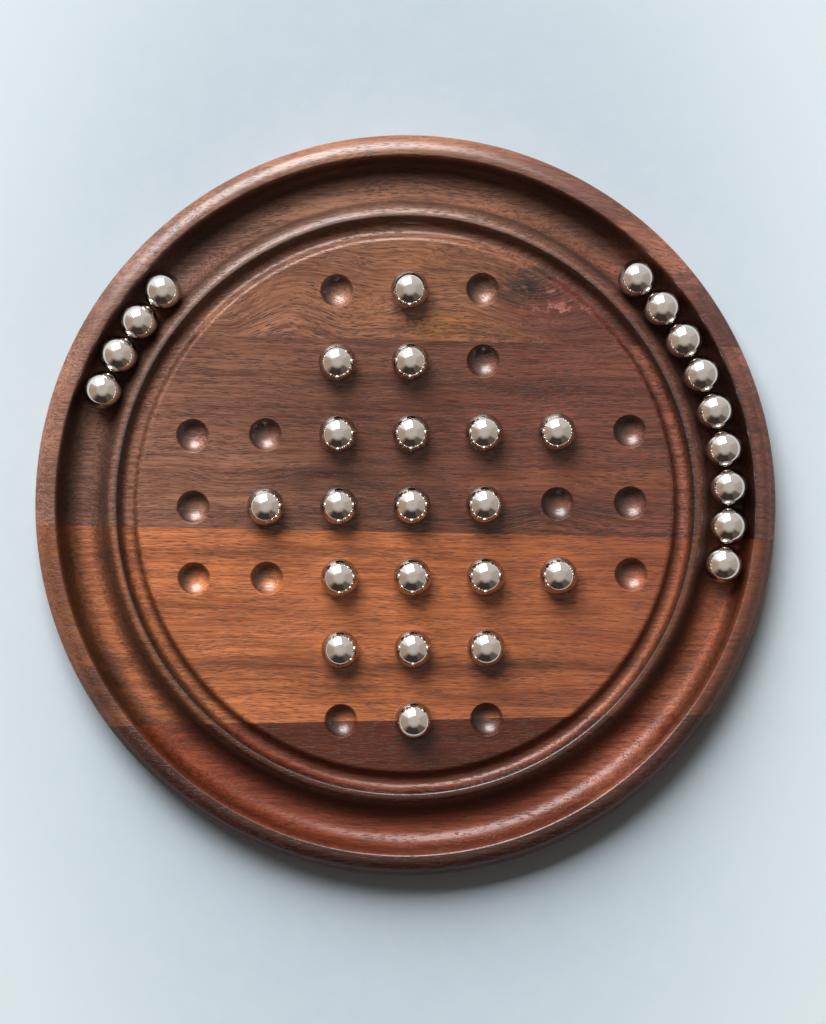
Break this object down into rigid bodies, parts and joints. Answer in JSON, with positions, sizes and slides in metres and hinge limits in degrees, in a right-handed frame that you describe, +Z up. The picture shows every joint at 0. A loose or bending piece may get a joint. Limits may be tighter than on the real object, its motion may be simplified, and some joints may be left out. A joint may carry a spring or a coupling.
{
  "type": "peg solitaire board",
  "caption": "Round wooden solitaire board: a cross of dimpled holes inside turned mouldings, a ring groove for captured balls, and steel balls that lift out or roll along the groove.",
  "frame": {"origin": "centre of the flat base of the round board, on the table", "axes": "+Z up out of the playing face, the board's turning axis; +X to the right along the rows of holes, +Y away from the player up the columns"},
  "size_m": [0.3048, 0.3048, 0.0271],
  "materials": {
    "back_plank_wood": "satin lacquer over open-grained brown hardwood",
    "upper_middle_plank_wood": "satin lacquer over open-grained brown hardwood",
    "lower_middle_plank_wood": "satin lacquer over open-grained brown hardwood",
    "front_plank_wood": "satin lacquer over open-grained brown hardwood",
    "polished_steel": "mirror polished"
  },
  "bodies": {
    "board": {"back_plank": "back_plank_wood", "upper_middle_plank": "upper_middle_plank_wood", "lower_middle_plank": "lower_middle_plank_wood", "front_plank": "front_plank_wood"},
    "ball_d1": {"ball_d1": "polished_steel"},
    "ball_c2": {"ball_c2": "polished_steel"},
    "ball_d2": {"ball_d2": "polished_steel"},
    "ball_c3": {"ball_c3": "polished_steel"},
    "ball_d3": {"ball_d3": "polished_steel"},
    "ball_e3": {"ball_e3": "polished_steel"},
    "ball_f3": {"ball_f3": "polished_steel"},
    "ball_b4": {"ball_b4": "polished_steel"},
    "ball_c4": {"ball_c4": "polished_steel"},
    "ball_d4": {"ball_d4": "polished_steel"},
    "ball_e4": {"ball_e4": "polished_steel"},
    "ball_c5": {"ball_c5": "polished_steel"},
    "ball_d5": {"ball_d5": "polished_steel"},
    "ball_e5": {"ball_e5": "polished_steel"},
    "ball_f5": {"ball_f5": "polished_steel"},
    "ball_c6": {"ball_c6": "polished_steel"},
    "ball_d6": {"ball_d6": "polished_steel"},
    "ball_e6": {"ball_e6": "polished_steel"},
    "ball_d7": {"ball_d7": "polished_steel"},
    "groove_ball_left_1": {"groove_ball_left_1": "polished_steel"},
    "groove_ball_left_2": {"groove_ball_left_2": "polished_steel"},
    "groove_ball_left_3": {"groove_ball_left_3": "polished_steel"},
    "groove_ball_left_4": {"groove_ball_left_4": "polished_steel"},
    "groove_ball_right_1": {"groove_ball_right_1": "polished_steel"},
    "groove_ball_right_2": {"groove_ball_right_2": "polished_steel"},
    "groove_ball_right_3": {"groove_ball_right_3": "polished_steel"},
    "groove_ball_right_4": {"groove_ball_right_4": "polished_steel"},
    "groove_ball_right_5": {"groove_ball_right_5": "polished_steel"},
    "groove_ball_right_6": {"groove_ball_right_6": "polished_steel"},
    "groove_ball_right_7": {"groove_ball_right_7": "polished_steel"},
    "groove_ball_right_8": {"groove_ball_right_8": "polished_steel"},
    "groove_ball_right_9": {"groove_ball_right_9": "polished_steel"}
  },
  "joints": [
    {"name": "lift_ball_d1", "type": "slide", "parent": "board", "child": "ball_d1", "axis": [0, 0, 1], "range_m": [0, 0.04]},
    {"name": "lift_ball_c2", "type": "slide", "parent": "board", "child": "ball_c2", "axis": [0, 0, 1], "range_m": [0, 0.04]},
    {"name": "lift_ball_d2", "type": "slide", "parent": "board", "child": "ball_d2", "axis": [0, 0, 1], "range_m": [0, 0.04]},
    {"name": "lift_ball_c3", "type": "slide", "parent": "board", "child": "ball_c3", "axis": [0, 0, 1], "range_m": [0, 0.04]},
    {"name": "lift_ball_d3", "type": "slide", "parent": "board", "child": "ball_d3", "axis": [0, 0, 1], "range_m": [0, 0.04]},
    {"name": "lift_ball_e3", "type": "slide", "parent": "board", "child": "ball_e3", "axis": [0, 0, 1], "range_m": [0, 0.04]},
    {"name": "lift_ball_f3", "type": "slide", "parent": "board", "child": "ball_f3", "axis": [0, 0, 1], "range_m": [0, 0.04]},
    {"name": "lift_ball_b4", "type": "slide", "parent": "board", "child": "ball_b4", "axis": [0, 0, 1], "range_m": [0, 0.04]},
    {"name": "lift_ball_c4", "type": "slide", "parent": "board", "child": "ball_c4", "axis": [0, 0, 1], "range_m": [0, 0.04]},
    {"name": "lift_ball_d4", "type": "slide", "parent": "board", "child": "ball_d4", "axis": [0, 0, 1], "range_m": [0, 0.04]},
    {"name": "lift_ball_e4", "type": "slide", "parent": "board", "child": "ball_e4", "axis": [0, 0, 1], "range_m": [0, 0.04]},
    {"name": "lift_ball_c5", "type": "slide", "parent": "board", "child": "ball_c5", "axis": [0, 0, 1], "range_m": [0, 0.04]},
    {"name": "lift_ball_d5", "type": "slide", "parent": "board", "child": "ball_d5", "axis": [0, 0, 1], "range_m": [0, 0.04]},
    {"name": "lift_ball_e5", "type": "slide", "parent": "board", "child": "ball_e5", "axis": [0, 0, 1], "range_m": [0, 0.04]},
    {"name": "lift_ball_f5", "type": "slide", "parent": "board", "child": "ball_f5", "axis": [0, 0, 1], "range_m": [0, 0.04]},
    {"name": "lift_ball_c6", "type": "slide", "parent": "board", "child": "ball_c6", "axis": [0, 0, 1], "range_m": [0, 0.04]},
    {"name": "lift_ball_d6", "type": "slide", "parent": "board", "child": "ball_d6", "axis": [0, 0, 1], "range_m": [0, 0.04]},
    {"name": "lift_ball_e6", "type": "slide", "parent": "board", "child": "ball_e6", "axis": [0, 0, 1], "range_m": [0, 0.04]},
    {"name": "lift_ball_d7", "type": "slide", "parent": "board", "child": "ball_d7", "axis": [0, 0, 1], "range_m": [0, 0.04]},
    {"name": "roll_left_1", "type": "hinge", "parent": "board", "child": "groove_ball_left_1", "pos_m": [0, 0, 0], "axis": [0, 0, 1], "range_deg": [0, 183]},
    {"name": "roll_left_2", "type": "hinge", "parent": "board", "child": "groove_ball_left_2", "pos_m": [0, 0, 0], "axis": [0, 0, 1], "range_deg": [0, 183]},
    {"name": "roll_left_3", "type": "hinge", "parent": "board", "child": "groove_ball_left_3", "pos_m": [0, 0, 0], "axis": [0, 0, 1], "range_deg": [0, 183]},
    {"name": "roll_left_4", "type": "hinge", "parent": "board", "child": "groove_ball_left_4", "pos_m": [0, 0, 0], "axis": [0, 0, 1], "range_deg": [0, 183]},
    {"name": "roll_right_1", "type": "hinge", "parent": "board", "child": "groove_ball_right_1", "pos_m": [0, 0, 0], "axis": [0, 0, 1], "range_deg": [0, 87]},
    {"name": "roll_right_2", "type": "hinge", "parent": "board", "child": "groove_ball_right_2", "pos_m": [0, 0, 0], "axis": [0, 0, 1], "range_deg": [0, 87]},
    {"name": "roll_right_3", "type": "hinge", "parent": "board", "child": "groove_ball_right_3", "pos_m": [0, 0, 0], "axis": [0, 0, 1], "range_deg": [0, 87]},
    {"name": "roll_right_4", "type": "hinge", "parent": "board", "child": "groove_ball_right_4", "pos_m": [0, 0, 0], "axis": [0, 0, 1], "range_deg": [0, 87]},
    {"name": "roll_right_5", "type": "hinge", "parent": "board", "child": "groove_ball_right_5", "pos_m": [0, 0, 0], "axis": [0, 0, 1], "range_deg": [0, 87]},
    {"name": "roll_right_6", "type": "hinge", "parent": "board", "child": "groove_ball_right_6", "pos_m": [0, 0, 0], "axis": [0, 0, 1], "range_deg": [0, 87]},
    {"name": "roll_right_7", "type": "hinge", "parent": "board", "child": "groove_ball_right_7", "pos_m": [0, 0, 0], "axis": [0, 0, 1], "range_deg": [0, 87]},
    {"name": "roll_right_8", "type": "hinge", "parent": "board", "child": "groove_ball_right_8", "pos_m": [0, 0, 0], "axis": [0, 0, 1], "range_deg": [0, 87]},
    {"name": "roll_right_9", "type": "hinge", "parent": "board", "child": "groove_ball_right_9", "pos_m": [0, 0, 0], "axis": [0, 0, 1], "range_deg": [0, 87]}
  ],
  "couplings": [
    {"joint": "roll_left_2", "follows": "roll_left_1", "ratio": 1},
    {"joint": "roll_left_3", "follows": "roll_left_1", "ratio": 1},
    {"joint": "roll_left_4", "follows": "roll_left_1", "ratio": 1},
    {"joint": "roll_right_2", "follows": "roll_right_1", "ratio": 1},
    {"joint": "roll_right_3", "follows": "roll_right_1", "ratio": 1},
    {"joint": "roll_right_4", "follows": "roll_right_1", "ratio": 1},
    {"joint": "roll_right_5", "follows": "roll_right_1", "ratio": 1},
    {"joint": "roll_right_6", "follows": "roll_right_1", "ratio": 1},
    {"joint": "roll_right_7", "follows": "roll_right_1", "ratio": 1},
    {"joint": "roll_right_8", "follows": "roll_right_1", "ratio": 1},
    {"joint": "roll_right_9", "follows": "roll_right_1", "ratio": 1}
  ]
}
